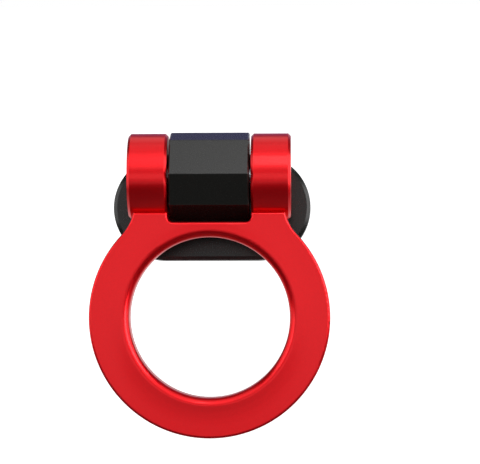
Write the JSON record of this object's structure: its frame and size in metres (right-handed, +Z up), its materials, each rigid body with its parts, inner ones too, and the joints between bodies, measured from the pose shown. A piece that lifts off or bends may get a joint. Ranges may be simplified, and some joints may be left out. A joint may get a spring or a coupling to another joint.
{
  "type": "folding tow hook",
  "caption": "Flat ring on a barrel hinge that folds up and down from a rounded stick-on base plate with a faceted lug.",
  "frame": {"origin": "centre of the adhesive pad's back face, on the surface that the hook is stuck to", "axes": "+X along the hinge pin, +Y into the surface that the base is stuck to, +Z up; the ring hangs below the hinge"},
  "size_m": [0.0776, 0.0348, 0.099],
  "materials": {
    "base_plastic": "satin black moulded plastic",
    "pad_foam": "closed-cell foam, dull",
    "ring_plastic": "smooth red, semi-gloss",
    "pin_steel": "plain turned steel"
  },
  "bodies": {
    "base": {"base_moulding": "base_plastic", "adhesive_pad": "pad_foam"},
    "ring": {"ring_moulding": "ring_plastic", "hinge_pin": "pin_steel"}
  },
  "joints": [
    {"name": "ring_hinge", "type": "hinge", "parent": "base", "child": "ring", "pos_m": [0, -0.0205, 0.0084], "axis": [-1, 0, 0], "range_deg": [-8.8, 193.2]}
  ]
}
